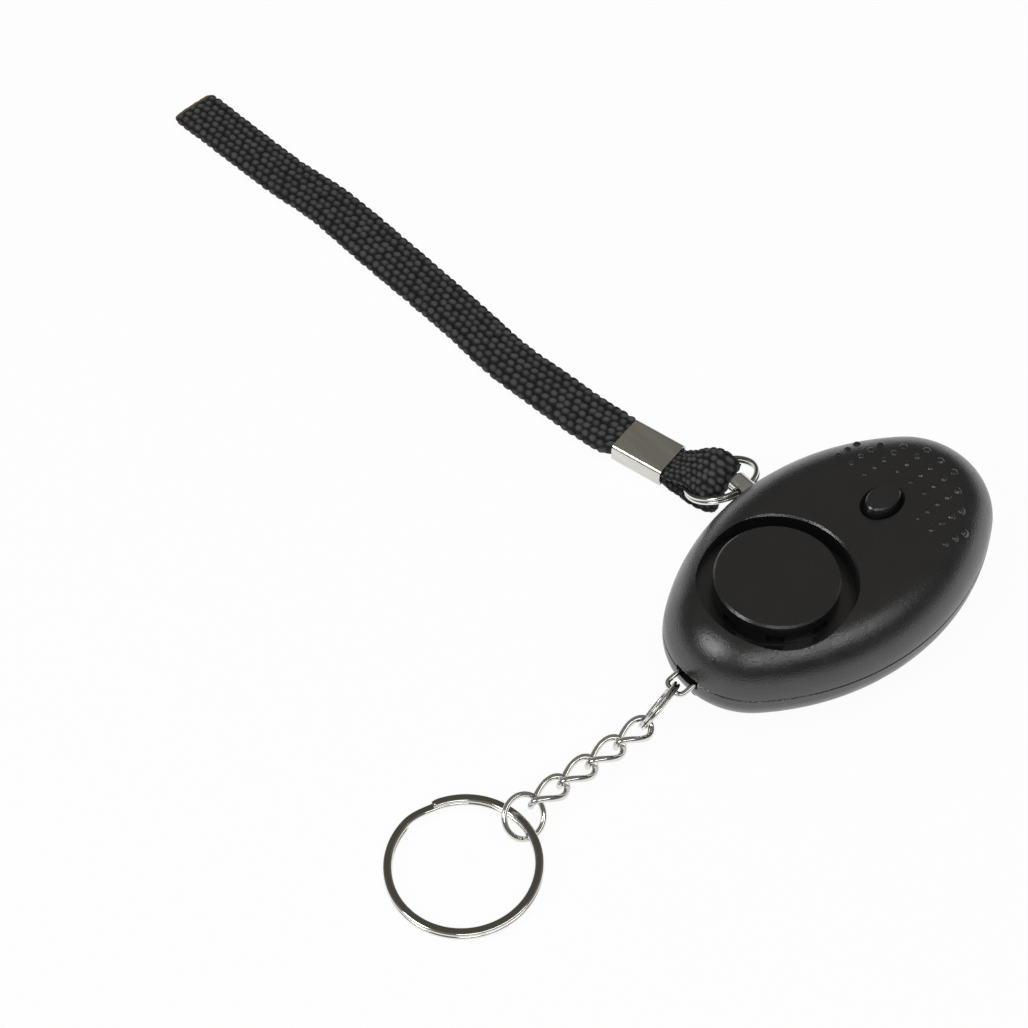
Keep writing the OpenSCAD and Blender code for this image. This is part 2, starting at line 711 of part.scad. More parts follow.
module push_button() {
    top = top_h + button_rise;
    color("black") translate([button_x, 0, 0]) union() {
        oval_sweep(button_l / 2, button_w / 2) polygon([
            [0, lip_z], [$edge, lip_z], [$edge, top_h - dish], [$edge - button_draft, top - button_bevel],
            [$edge - button_draft - button_bevel, top], [0, top]]);
        oval_sweep(button_l / 2 + button_lip, button_w / 2 + button_lip)
            plain_section(lip_z, lip_z + button_lip_t);
        translate([0, 0, stem_z]) cylinder(r = plunger_d / 2, h = lip_z - stem_z + 0.1, $fn = 36);
    }
}

module switch_case() {
    color("darkslategray") difference() {
        translate([button_x - switch_w / 2, -switch_w / 2, board_top]) cube([switch_w, switch_w, switch_h]);
        translate([button_x, 0, board_top + switch_h - plunger_in - button_travel - 0.2])
            cylinder(r = plunger_d / 2 + plunger_clear, h = 10, $fn = 36);
    }
}

module switch_plunger() {
    color("orangered") translate([button_x, 0, board_top + switch_h - plunger_in])
        cylinder(r = plunger_d / 2, h = plunger_top - board_top - switch_h + plunger_in, $fn = 36);
}

module circuit_board() {
    color("darkgreen") translate([board_x, -board_w / 2, board_z]) cube([board_l, board_w, board_t]);
}

module coil_core() {
    color("gray") translate([coil_x, coil_y, board_top]) union() {
        cylinder(r = coil_d / 2, h = coil_flange_t, $fn = 48);
        cylinder(r = coil_core_d / 2, h = coil_h, $fn = 48);
        translate([0, 0, coil_h - coil_flange_t]) cylinder(r = coil_d / 2, h = coil_flange_t, $fn = 48);
    }
}

module coil_winding() {
    color("chocolate") translate([coil_x, coil_y, board_top + coil_flange_t]) difference() {
        cylinder(r = coil_d / 2 - 0.3, h = coil_h - 2 * coil_flange_t, $fn = 48);
        translate([0, 0, -1]) cylinder(r = coil_core_d / 2, h = coil_h + 2, $fn = 48);
    }
}

module driver_chip() {
    color("black") translate([chip_x, chip_y, board_top]) union() {
        translate([-chip_l / 2, -chip_w / 2, 0]) cube([chip_l, chip_w, chip_h]);
        for (k = [-1.5:1:1.5]) for (s = [-1, 1])
            translate([k * chip_l / 4.2 - 0.2, s * chip_w / 2 - 0.8, 0]) cube([0.4, 1.6, 0.2]);
    }
}

module transistor() {
    color("black") translate([transistor_x, transistor_y, board_top])
        translate([-transistor_l / 2, -transistor_w / 2, 0])
            cube([transistor_l, transistor_w, transistor_h]);
}

module lower_cell() {
    color("silver") translate([button_x, 0, cell_z]) union() {
        cylinder(r = cell_r - 1, h = cell_h);
        translate([0, 0, 0.4]) cylinder(r = cell_r, h = cell_h - 0.4);
    }
}

module upper_cell() {
    color("silver") translate([0, 0, cell_h]) lower_cell();
}

module negative_contact() {
    x1 = button_x + ring_in + cell_wall;
    color("goldenrod") union() {
        translate([button_x, 0, floor_t]) cylinder(r = contact_w, h = contact_t, $fn = 48);
        translate([button_x, -contact_w / 2, floor_t]) cube([ring_in + cell_wall, contact_w, contact_t]);
        translate([x1 - contact_t, -contact_w / 2, floor_t])
            cube([contact_t, contact_w, board_top - floor_t]);
    }
}

module positive_contact() {
    color("goldenrod") union() {
        translate([button_x, 0, plate_z]) cylinder(r = contact_w, h = contact_t, $fn = 48);
        translate([button_x - contact_w / 2, -cell_r - 1, plate_z]) cube([contact_w, cell_r + 1, contact_t]);
    }
}

module pin_guide() {
    z0 = pin_z - pin_r - guide_wall;
    color("ivory") difference() {
        intersection() {
            translate([pin_at - pin_r - guide_wall, guide_y, z0])
                cube([pin_d + 2 * guide_wall, guide_l, pin_d + 2 * guide_wall]);
            oval_sweep(half_l - wall - guide_gap, half_w - wall - guide_gap)
                plain_section(0, top_h);
        }
        pin_bore(pin_r + pin_clear);
    }
}

module fixed_contact() {
    color("goldenrod") translate([pin_at + arm_x, arm_y - arm_l, pin_z - arm_h / 2])
        cube([contact_t, arm_l + 0.2, arm_h]);
}

module contact_arm() {
    color("goldenrod") union() {
        translate([pin_at - arm_x - contact_t, arm_y - arm_l, pin_z - arm_h / 2])
            cube([contact_t, arm_l, arm_h]);
        translate([pin_at - arm_x - contact_t / 2, arm_y - 0.3, pin_z - arm_h / 2])
            cylinder(r = 0.3, h = arm_h, $fn = 24);
    }
}

module pull_pin() {
    color("silver") difference() {
        translate([pin_at, pin_tip_y, pin_z]) rotate([-90, 90, 0]) rotate_extrude() polygon([
            [0, 0], [nose_tip_d / 2, 0], [nose_d / 2, nose_l],
            [pin_r, nose_l + (pin_d - nose_d) / 2], [pin_r, pin_end_y - pin_tip_y - 0.3],
            [pin_r - 0.3, pin_end_y - pin_tip_y], [0, pin_end_y - pin_tip_y]]);
        translate([pin_at - pin_d, hole_y, pin_z]) rotate([0, 90, 0])
            cylinder(r = hole_d / 2, h = 2 * pin_d, $fn = 48);
    }
}

// flat split ring of two turns with a step between them
module split_ring(od, w, t, step, at) {
    c = 0.2 * t;
    for (lev = [[0, -t, 360 - step], [-step - 1.5, -t / 2, step + 3], [0, 0, 360 - step]])
        rotate([0, 0, at + lev[0]]) rotate_extrude(angle = lev[2], $fn = 96) translate([od / 2 - w, lev[1]])
            polygon([[c, 0], [w - c, 0], [w, c], [w, t - c], [w - c, t], [c, t], [0, t - c], [0, c]]);
}

module pin_ring() {
    color("silver") translate([pin_at, hole_y, pin_z]) rotate([-pin_ring_slope, 0, 0])
        translate([0, (pin_ring_od - pin_ring_w) / 2, 0])
            split_ring(pin_ring_od, pin_ring_w, pin_ring_t, 24, 100);
}

module at_clamp() {
    translate([pin_at + clamp_x, hole_y + clamp_y, clamp_z]) rotate([0, 0, clamp_turn]) children();
}

module round_bar(w, h, r, l) {
    rotate([90, 0, 0]) translate([0, 0, -l / 2]) linear_extrude(l) union() {
        square([w - 2 * r, h], center = true);
        square([w, h - 2 * r], center = true);
        for (sx = [-1, 1]) for (sy = [-1, 1])
            translate([sx * (w / 2 - r), sy * (h / 2 - r)]) circle(r, $fn = 36);
    }
}

module strap_clamp() {
    color("silver") at_clamp() difference() {
        round_bar(clamp_in_w + 2 * clamp_wall, clamp_in_h + 2 * clamp_wall, 1, clamp_l);
        round_bar(clamp_in_w, clamp_in_h, 0.5, clamp_l + 1);
    }
}

// the layers fill the clamp, and spread outside it
function squeeze(d) = min(1, max(0, (abs(d) - clamp_l / 2 - 0.1) / 1.5));
function layer_w(d, w) = (clamp_in_w - 2 * clamp_clear) * (1 - squeeze(d)) + w * squeeze(d);

module strap_fold() {
    line = curve(fold_route, 3);
    path = [for (q = line) [q[0], -q[1], q[2] - 2.25]];
    rings = [for (i = [0:len(line) - 1])
        let (d = along(path, i), n = unit(cross(d, [cos(line[i][3]), 0, sin(line[i][3])])))
        flat_ring(path[i], cross(n, d), n, layer_w(line[i][1], fold_w), line[i][4], 12)];
    color("dimgray") at_clamp() skin(rings);
}

module strap() {
    line = curve(strap_route, 3);
    rings = [for (i = [0:len(line) - 1])
        let (p = line[i] + [pin_at, hole_y, 0], d = along(line, i), s = unit([d[1], -d[0], 0]),
            e = norm([line[i][0] - clamp_x, line[i][1] - clamp_y]), q = squeeze(e),
            t = (clamp_in_h - 2 * clamp_clear) * (1 - q) + strap_t * q)
        flat_ring(p, s, cross(d, s), layer_w(e, strap_w), t, 12)];
    color("dimgray") skin(rings);
}

module chain_loop() {
    r = loop_wire / 2;
    w = loop_w / 2;
    c = loop_corner;
    color("silver") translate([post_x, 0, loop_z]) rotate([0, -loop_slope, 0]) union() {
        rotate([0, 0, -90]) rotate_extrude(angle = 180) translate([w, 0]) circle(r, $fn = 24);
        for (s = [-1, 1]) translate([c - loop_l, s * w, 0]) rotate([0, 90, 0])
            cylinder(r = r, h = loop_l - c, $fn = 24);
        translate([c - loop_l, w - c, 0]) rotate([0, 0, 90]) rotate_extrude(angle = 90)
            translate([c, 0]) circle(r, $fn = 24);
        translate([c - loop_l, c - w, 0]) rotate([0, 0, 180]) rotate_extrude(angle = 90)
            translate([c, 0]) circle(r, $fn = 24);
        translate([-loop_l, c - w, 0]) rotate([-90, 0, 0]) cylinder(r = r, h = 2 * (w - c), $fn = 24);
    }
}

module chain_ring() {
    color("silver") translate([bar_x, 0, bar_z])
        rotate([0, -chain_slope, 0]) rotate([-chain_lean, 0, 0])
        translate([-ring_hang, 0, 0]) split_ring(chain_ring_od, chain_ring_w, chain_ring_t, 28, 60);
}

// middle line of a curb link, twisted from end to end
function link_bow(v) = sign(v) * pow(abs(v), 0.85);
function link_at(t) = let (c = link_bow(cos(t)), s = link_bow(sin(t)), a = link_twist * c)
    [link_span / 2 * c, link_w / 2 * s * cos(a), link_w / 2 * s * sin(a)];

module curb_link() {
    k = 32;
    rings = [for (i = [0:k - 1])
        let (t = 360 * (i + 0.5) / k, p = link_at(t), d = unit(link_at(t + 2) - link_at(t - 2)),
            a = link_twist * cos(t), n = unit(cross(d, [0, -sin(a), cos(a)])))
        round_ring(p, n, cross(d, n), link_r, 10)];
    translate([-link_span / 2, 0, 0]) skin(rings, true);
}

module link_place(k) {
    translate(hook + chain_dir * (k - 1) * link_pitch)
        rotate([0, 0, -chain_turn]) rotate([0, chain_rise, 0]) rotate([-link_roll, 0, 0]) curb_link();
}

module chain_link_1() {
    color("silver") link_place(1);
}

module chain_link_2() {
    color("silver") link_place(2);
}

module chain_link_3() {
    color("silver") link_place(3);
}

module chain_link_4() {
    color("silver") link_place(4);
}

module jump_ring() {
    color("silver") translate([jump_x, jump_y, jump_z]) rotate([45, 0, 0]) rotate([0, 0, 20])
        rotate_extrude(angle = 358) translate([jump_r, 0]) circle(jump_wire / 2, $fn = 32);
}

module key_ring() {
    color("silver") translate([key_near_x, key_near_y, key_near_z]) rotate([0, -key_tilt, 0])
        translate([-key_mid, 0, 0]) split_ring(key_od, key_w, key_t, 26, 100);
}

module piezo_wires() {
    r = wire_d / 2;
    z = board_top + r + 0.04;
    disc_z = ledge_z + piezo_t + ceramic_t + r + 0.04;
    for (s = [-1, 1]) {
        p = [[board_x + 2, wire_y + s * 2, z], [board_x + 0.6, wire_y + s * 2, z],
            [board_x - 1.5, wire_y + s * 1.9, z + 0.5],
            [siren_x + holder_r + 1, wire_y + s * 1.7, disc_z + 0.6],
            [siren_x + holder_r - 2, wire_y + s * 1.5, disc_z + 0.6],
            [siren_x + ceramic_r - 1.4, wire_y + s * 1.2, disc_z],
            [siren_x + ceramic_r - 3, wire_y + s * 1.2, disc_z]];
        line = curve(p, 3);
        color("red") skin([for (i = [0:len(line) - 1])
            let (d = along(line, i), n = unit(cross(d, [0, 1, 0])))
            round_ring(line[i], n, cross(d, n), r, 8)]);
    }
}

front_shell();
rear_shell();
shell_screws();
siren_cap();
piezo_holder();
piezo_diaphragm();
piezo_ceramic();
push_button();
switch_case();
switch_plunger();
circuit_board();
coil_core();
coil_winding();
driver_chip();
transistor();
lower_cell();
upper_cell();
negative_contact();
positive_contact();
pin_guide();
fixed_contact();
contact_arm();
pull_pin();
pin_ring();
strap_clamp();
strap_fold();
strap();
chain_loop();
chain_ring();
chain_link_1();
chain_link_2();
chain_link_3();
chain_link_4();
jump_ring();
key_ring();
piezo_wires();
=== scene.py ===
import bpy
import json
import math
import numpy as np
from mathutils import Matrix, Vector


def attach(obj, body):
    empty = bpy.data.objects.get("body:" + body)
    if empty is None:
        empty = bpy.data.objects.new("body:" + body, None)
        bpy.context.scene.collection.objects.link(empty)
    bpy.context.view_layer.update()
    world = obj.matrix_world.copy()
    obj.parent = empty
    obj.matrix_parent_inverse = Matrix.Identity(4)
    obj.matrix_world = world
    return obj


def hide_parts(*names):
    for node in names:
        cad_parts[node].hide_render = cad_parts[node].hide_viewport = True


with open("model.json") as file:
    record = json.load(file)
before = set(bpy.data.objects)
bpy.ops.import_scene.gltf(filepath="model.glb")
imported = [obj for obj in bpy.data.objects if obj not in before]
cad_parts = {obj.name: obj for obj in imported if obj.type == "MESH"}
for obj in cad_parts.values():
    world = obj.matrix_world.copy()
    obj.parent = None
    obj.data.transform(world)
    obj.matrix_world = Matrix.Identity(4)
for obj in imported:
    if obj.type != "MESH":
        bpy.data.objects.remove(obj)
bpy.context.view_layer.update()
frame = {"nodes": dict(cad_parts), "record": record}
nodes = frame["nodes"]
MM = 0.001

# Camera, fitted to the photograph; its place is in metres
SENSOR_MM = 36.0
FOCAL_PX = 2800.0
PHOTO_PX = 1028.0
CAMERA_AT = (-0.22007, -0.17565, 0.37589)
CAMERA_BACK = (-0.403, -0.4673, 0.7871)


def make_camera():
    data = bpy.data.cameras.new("camera")
    cam = bpy.data.objects.new("camera", data)
    bpy.context.collection.objects.link(cam)
    data.sensor_width = SENSOR_MM
    data.lens = SENSOR_MM * FOCAL_PX / PHOTO_PX
    data.clip_start, data.clip_end = 0.01, 10
    cam.location = CAMERA_AT
    cam.rotation_mode = "QUATERNION"
    cam.rotation_quaternion = (-Vector(CAMERA_BACK)).to_track_quat("-Z", "Y")
    bpy.context.scene.camera = cam


make_camera()
bpy.context.scene.view_settings.view_transform = "Standard"


# Points, lines and meshes; lengths are in millimetres until skin_mesh scales them
def bend(a, b, c, d, t):
    """Point at share t of the way from b to c, on a smooth curve through a, b, c and d."""
    return 0.5 * (2 * b + (c - a) * t + (2 * a - 5 * b + 4 * c - d) * t * t
                  + (3 * b - a - 3 * c + d) * t * t * t)


def curve(points, n):
    """Smooth line through points, in n steps from each point to the next."""
    p = np.array(points, float)
    out = []
    last = len(p) - 2
    for i in range(last + 1):
        for k in range(n + 1 if i == last else n):
            out.append(bend(p[max(i - 1, 0)], p[i], p[i + 1], p[min(i + 2, len(p) - 1)], k / n))
    return np.array(out)


def distances(line):
    """Distance along a line at each of its points."""
    return np.r_[0, np.cumsum(np.linalg.norm(np.diff(line, axis=0), axis=1))]


def resample(line, step):
    """Points a step apart along the first three columns of a line, and the distance to each."""
    d = distances(line[:, :3])
    n = max(2, int(round(d[-1] / step)) + 1)
    at = np.linspace(0, d[-1], n)
    return np.stack([np.interp(at, d, line[:, k]) for k in range(line.shape[1])], 1), at


def unit(v):
    return v / np.linalg.norm(v, axis=-1, keepdims=True)


def tangents(p, closed=False):
    if closed:
        return unit(np.roll(p, -1, 0) - np.roll(p, 1, 0))
    return unit(np.gradient(p, axis=0))


def ease(v):
    """Smooth step of values from 0 to 1."""
    return v * v * (3 - 2 * v)


def signed_power(v, power):
    """Power of the size of v, with the sign of v."""
    return np.sign(v) * np.abs(v) ** power


def rot_x(degrees):
    c, s = math.cos(math.radians(degrees)), math.sin(math.radians(degrees))
    return np.array([[1, 0, 0], [0, c, -s], [0, s, c]])


def rot_y(degrees):
    c, s = math.cos(math.radians(degrees)), math.sin(math.radians(degrees))
    return np.array([[c, 0, s], [0, 1, 0], [-s, 0, c]])


def rot_z(degrees):
    c, s = math.cos(math.radians(degrees)), math.sin(math.radians(degrees))
    return np.array([[c, -s, 0], [s, c, 0], [0, 0, 1]])


def step_up(length, degrees):
    """Step of a length along +X, raised by an angle towards +Z."""
    return np.array([length * math.cos(math.radians(degrees)), 0, length * math.sin(math.radians(degrees))])


def place(points, *moves):
    """Points turned by each matrix and shifted by each vector, in the order given."""
    p = points.reshape(-1, 3)
    for m in moves:
        p = p @ m.T if np.shape(m) == (3, 3) else p + np.asarray(m, float)
    return p.reshape(points.shape)


def skin_mesh(name, rings, closed=False, values=None):
    """Object with a skin through rings (m, n, 3); values are named numbers (m, n) for its points."""
    m, n = rings.shape[:2]
    verts = rings.reshape(-1, 3) * MM
    faces = []
    for k in range(m if closed else m - 1):
        a, b = k * n, ((k + 1) % m) * n
        for i in range(n):
            j = (i + 1) % n
            faces.append((a + i, a + j, b + j, b + i))
    if not closed:
        faces.append(tuple(range(n - 1, -1, -1)))
        faces.append(tuple(range((m - 1) * n, m * n)))
    mesh = bpy.data.meshes.new(name)
    mesh.from_pydata(verts.tolist(), [], faces)
    for key, value in (values or {}).items():
        layer = mesh.attributes.new(key, "FLOAT", "POINT")
        layer.data.foreach_set("value", np.asarray(value, np.float32).reshape(-1))
    mesh.polygons.foreach_set("use_smooth", [True] * len(mesh.polygons))
    mesh.update()
    obj = bpy.data.objects.new(name, mesh)
    bpy.context.collection.objects.link(obj)
    return obj


# Material helpers; noise scales count features to the metre, and depths are in metres
MIX_FACTOR, MIX_FIRST, MIX_SECOND, MIX_RESULT = 0, 6, 7, 2


def new_material(name):
    mat = bpy.data.materials.new(name)
    mat.use_nodes = True
    tree = mat.node_tree
    shader = next(x for x in tree.nodes if x.type == "BSDF_PRINCIPLED")
    return mat, tree, shader


def grey(v):
    return (v, v, v)


def coords(tree, stretch=(1, 1, 1)):
    source = tree.nodes.new("ShaderNodeTexCoord")
    mapping = tree.nodes.new("ShaderNodeMapping")
    mapping.inputs["Scale"].default_value = stretch
    tree.links.new(source.outputs["Object"], mapping.inputs["Vector"])
    return mapping.outputs["Vector"]


def noise(tree, vector, scale, detail=3.0, rough=0.55):
    node = tree.nodes.new("ShaderNodeTexNoise")
    node.inputs["Scale"].default_value = scale
    node.inputs["Detail"].default_value = detail
    node.inputs["Roughness"].default_value = rough
    tree.links.new(vector, node.inputs["Vector"])
    return node.outputs["Fac"]


def ramp(tree, value, stops):
    node = tree.nodes.new("ShaderNodeValToRGB")
    elements = node.color_ramp.elements
    while len(elements) < len(stops):
        elements.new(0.5)
    for element, (position, colour) in zip(elements, stops):
        element.position = position
        element.color = (*colour, 1)
    tree.links.new(value, node.inputs["Fac"])
    return node.outputs["Color"]


def bump(tree, height, distance, strength):
    node = tree.nodes.new("ShaderNodeBump")
    node.inputs["Distance"].default_value = distance
    node.inputs["Strength"].default_value = strength
    tree.links.new(height, node.inputs["Height"])
    return node.outputs["Normal"]


def attribute(tree, name):
    """Socket with the numbers that skin_mesh stored under a name."""
    node = tree.nodes.new("ShaderNodeAttribute")
    node.attribute_name = name
    return node.outputs["Fac"]


def math_node(tree, operation, *values):
    """Output of a math node whose inputs are sockets or plain numbers."""
    node = tree.nodes.new("ShaderNodeMath")
    node.operation = operation
    for socket, value in zip(node.inputs, values):
        if isinstance(value, float):
            socket.default_value = value
        else:
            tree.links.new(value, socket)
    return node.outputs[0]


def mix_colour(tree, share, first, second):
    """Mix of a colour socket and a fixed second colour, by the share of the second."""
    node = tree.nodes.new("ShaderNodeMix")
    node.data_type = "RGBA"
    tree.links.new(share, node.inputs[MIX_FACTOR])
    tree.links.new(first, node.inputs[MIX_FIRST])
    node.inputs[MIX_SECOND].default_value = (*second, 1)
    return node.outputs[MIX_RESULT]


def spread(tree, value, first, second, socket, low=0.3, high=0.7):
    """Drives a shader's socket from the first tone to the second as a value goes from low to high."""
    tree.links.new(ramp(tree, value, [(low, first), (high, second)]), socket)


# Plastic, metal and yarn: a spread is how far the roughness strays either way, and a share is a part of
# the scale or roughness that the material is given
BLOTCH_SCALE, GLOSS_SCALE, GLOSS_SPREAD = 90, 260, 0.05
TONE_SHARE, SMOOTH_SHARE, WORN_SHARE = 0.25, 0.6, 1.5
WEAR_LOW, WEAR_HIGH = 0.35, 0.75
INNER_SCALE, INNER_DEPTH, INNER_SPREAD = 400, 0.00001, 0.06
RING_SCALE, RING_DEPTH, RING_WEAR = 420, 0.00003, 0.35
FIBRE_SCALE, FIBRE_DEPTH, FIBRE_SHARE = 5200, 0.00006, 0.5
# Yarn colours run from painted shade in the gaps between stitches up to the stitches' crowns
YARN_AND_PAINTED_SHADE = [(0.2, (0.002, 0.002, 0.002)), (0.55, (0.017, 0.017, 0.0175)), (1.0, (0.072, 0.072, 0.073))]
SEALED_BROWN = (0.20, 0.135, 0.045)


def plastic(name, dark, light, rough, grain, depth, specular):
    """Moulded black plastic with a fine sparked grain and faint blotches."""
    mat, tree, shader = new_material(name)
    v = coords(tree)
    spread(tree, noise(tree, v, BLOTCH_SCALE, detail=4), dark, light, shader.inputs["Base Color"])
    gloss = noise(tree, v, GLOSS_SCALE)
    spread(tree, gloss, grey(rough - GLOSS_SPREAD), grey(rough + GLOSS_SPREAD), shader.inputs["Roughness"])
    cell = tree.nodes.new("ShaderNodeTexVoronoi")
    cell.inputs["Scale"].default_value = grain
    tree.links.new(v, cell.inputs["Vector"])
    tree.links.new(bump(tree, cell.outputs["Distance"], depth, strength=1.0), shader.inputs["Normal"])
    shader.inputs["Specular IOR Level"].default_value = specular
    return mat


def metal(name, dark, light, rough, stretch=(1, 1, 1), scale=900, depth=0.000004):
    """Bare metal with uneven tone and wear, brushed where the noise is stretched."""
    mat, tree, shader = new_material(name)
    shader.inputs["Metallic"].default_value = 1.0
    v = coords(tree, stretch)
    spread(tree, noise(tree, v, scale * TONE_SHARE, detail=4), dark, light, shader.inputs["Base Color"])
    wear = noise(tree, v, scale, detail=5, rough=0.65)
    spread(tree, wear, grey(rough * SMOOTH_SHARE), grey(rough * WORN_SHARE), shader.inputs["Roughness"],
           WEAR_LOW, WEAR_HIGH)
    tree.links.new(bump(tree, wear, depth, strength=0.5), shader.inputs["Normal"])
    return mat


def plain(name, dark, light, rough, metallic=0.0):
    """Small inner pieces: two close tones, uneven gloss and a little relief."""
    mat, tree, shader = new_material(name)
    shader.inputs["Metallic"].default_value = metallic
    n = noise(tree, coords(tree), INNER_SCALE, detail=4)
    spread(tree, n, dark, light, shader.inputs["Base Color"])
    spread(tree, n, grey(rough - INNER_SPREAD), grey(rough + INNER_SPREAD), shader.inputs["Roughness"])
    tree.links.new(bump(tree, n, INNER_DEPTH, strength=0.4), shader.inputs["Normal"])
    return mat


def ring_material(name):
    """Nickelled flat wire: the rolled flats are darker than the round edges."""
    mat, tree, shader = new_material(name)
    shader.inputs["Metallic"].default_value = 1.0
    wear = noise(tree, coords(tree), RING_SCALE, detail=4, rough=0.6)
    tone = math_node(tree, "MULTIPLY_ADD", wear, RING_WEAR, attribute(tree, "flat"))
    spread(tree, tone, (0.80, 0.79, 0.76), (0.30, 0.285, 0.25), shader.inputs["Base Color"], 0.55, 1.0)
    spread(tree, wear, grey(0.08), grey(0.16), shader.inputs["Roughness"], WEAR_LOW, WEAR_HIGH)
    tree.links.new(bump(tree, wear, RING_DEPTH, strength=0.5), shader.inputs["Normal"])
    return mat


def braid_material(name):
    """Braided black yarn, brown where it was heat-cut; painted shade makes it dark between stitches and
    lighter on their crowns.
    """
    mat, tree, shader = new_material(name)
    fibre = noise(tree, coords(tree), FIBRE_SCALE, rough=0.7)
    # The stitch tone darkens the yarn between stitches, as painted shade
    tone = math_node(tree, "MULTIPLY_ADD", fibre, FIBRE_SHARE, attribute(tree, "painted_crown_shade"))
    colour = mix_colour(tree, attribute(tree, "sealed"), ramp(tree, tone, YARN_AND_PAINTED_SHADE), SEALED_BROWN)
    tree.links.new(colour, shader.inputs["Base Color"])
    spread(tree, fibre, grey(0.6), grey(0.8), shader.inputs["Roughness"])
    tree.links.new(bump(tree, fibre, FIBRE_DEPTH, strength=0.7), shader.inputs["Normal"])
    shader.inputs["Sheen Weight"].default_value = 0.04
    shader.inputs["Sheen Roughness"].default_value = 0.5
    shader.inputs["Specular IOR Level"].default_value = 0.3
    return mat


SHELL = plastic("textured_shell", (0.0065, 0.0065, 0.007), (0.0085, 0.0085, 0.009), rough=0.27,
                grain=3800, depth=0.000027, specular=1.0)
CAP = plastic("siren_cap_plastic", (0.0075, 0.0075, 0.008), (0.0095, 0.0095, 0.010), rough=0.28,
              grain=2600, depth=0.00001, specular=0.9)
BUTTON = plastic("button_plastic", (0.008, 0.008, 0.0085), (0.010, 0.010, 0.0105), rough=0.27,
                 grain=2600, depth=0.00001, specular=1.0)
NICKEL = metal("bright_nickel", (0.70, 0.685, 0.65), (0.80, 0.79, 0.76), rough=0.10)
RING = ring_material("split_ring_nickel")
CLAMP = metal("brushed_nickel", (0.60, 0.59, 0.55), (0.72, 0.71, 0.67), rough=0.22,
              stretch=(1, 0.12, 1), scale=2600, depth=0.000006)
BRAID = braid_material("black_braid")

# Strap, its fold and the clamp, placed as in the CAD source, with the pin's hole as zero in X and Y
PIN_X, HOLE_Y, SEAM_Z = 1.4, 21.6, 7.7
CLAMP_X, CLAMP_Y, CLAMP_L, CLAMP_TURN = -3.8, 19.65, 10.0, 13.0
CLAMP_IN_W, CLAMP_IN_H, CLAMP_CLEAR = 7.3, 3.3, 0.1
CLAMP_WALL, CLAMP_LIFT = 0.35, 0.25
CLAMP_AT = np.array([PIN_X + CLAMP_X, HOLE_Y + CLAMP_Y, CLAMP_IN_H / 2 + CLAMP_WALL + CLAMP_LIFT])
# The fabric opens out over GRIP_RUN, from GRIP_CLEAR past each end of the clamp
GRIP_CLEAR, GRIP_RUN = 0.1, 1.5
STRAP_W, STRAP_T, FOLD_W = 9.4, 2.2, 7.2
# Stitches stand proud, so the braid's base is narrower than the solid, and the fold's is thinner too
SIDE_TRIM, FACE_TRIM = 0.1, 0.12
STRAP_ROUTE = [
    (-3.88, 20, 2.25), (-4.35, 22.05, 2.25), (-4.95, 24.65, 2.25), (-5.4, 28.3, 1.9), (-5.9, 33.6, 1.35),
    (-6.7, 42.1, 1.2), (-7.7, 52.7, 1.2), (-7.5, 62.1, 1.2), (-7.5, 71.4, 1.2), (-7.7, 86.4, 1.2),
    (-8, 102.7, 1.2), (-9.5, 113.7, 1.2), (-10.2, 122.7, 1.2), (-11.4, 140.7, 1.2)]
# Across, out from the clamp's middle, height, roll in degrees, thickness
FOLD_ROUTE = [
    (0, 0, 3.05, 0, 1.5), (0, 5, 3.05, 0, 1.5), (0, 6.6, 3.5, 4, 1.6), (0, 8.4, 4.5, 12, 1.6),
    (0, 10.2, 5.5, 20, 1.6), (-0.2, 12, 6.2, 30, 1.6), (-0.5, 14, 6.4, 37, 1.6), (-0.2, 15.2, 5.2, 39, 1.5),
    (0.2, 15.3, 3.8, 36, 1.4), (0.3, 14.2, 2.6, 28, 1.2), (0.1, 12.4, 1.7, 14, 1.1), (0, 10.4, 0.95, 4, 1),
    (0, 8.4, 0.57, 0, 0.9), (0, 6.6, 0.75, 0, 1.1), (0, 5, 1.45, 0, 1.5), (0, 0, 1.45, 0, 1.5)]
# Height of the clamp's middle in FOLD_ROUTE
FOLD_MID_Z = 2.25
CURVE_STEPS, STRAP_STEP, FOLD_STEP = 24, 0.27, 0.24

# The strap thins and browns towards its cut end; the fold widens round the pin ring
SEAL_L, SEAL_POWER = 0.7, 0.7
END_L, END_THIN, END_FLAT = 2.5, 0.45, 0.75
END_NARROW_L, END_NARROW = 0.9, 0.10
WAVE, WAVE_RATE = 0.02, 0.11
FLARE_FROM, FLARE_RUN, FLARE = 7.5, 6, 1.9

# Stitches are ovals that lean one way and the other in turn, with half-axes in rows and columns; each
# takes a small shift and a shade from a table of STITCH_KINDS, by its row and column
# A stitch's tone fades from its crown to painted shade at its edge; its random shade is the yarn's own tone
STITCH_SEED, STITCH_KINDS, ROW_KEY, COLUMN_KEY = 7, 4096, 37, 101
STITCH_TILT, STITCH_LONG, STITCH_WIDE, ROW_SQUASH = 26.0, 0.60, 0.50, 1.06
LEAST_SHADE, STITCH_POINTS = 0.7, 6
# Share of the rise that lies below the base, and the share that is left in the clamp's grip
STITCH_INSET, PRESSED = 0.45, 0.25
STRAP_RISE, STRAP_PITCH, STRAP_COLUMNS, STRAP_JITTER = 0.46, 1.72, 14, 0.10
FOLD_RISE, FOLD_PITCH, FOLD_COLUMNS, FOLD_JITTER = 0.40, 1.3, 16, 0.12
FULL_T, LEAST_RISE = 1.5, 0.4
OVAL_POWER, OVAL_ASPECT, OVAL_STEPS = 0.62, 4.3, 2000


def freedom(d):
    """0 in the clamp's grip and 1 clear of it, by the distance from the clamp's middle."""
    return np.clip((np.abs(d) - CLAMP_L / 2 - GRIP_CLEAR) / GRIP_RUN, 0, 1)


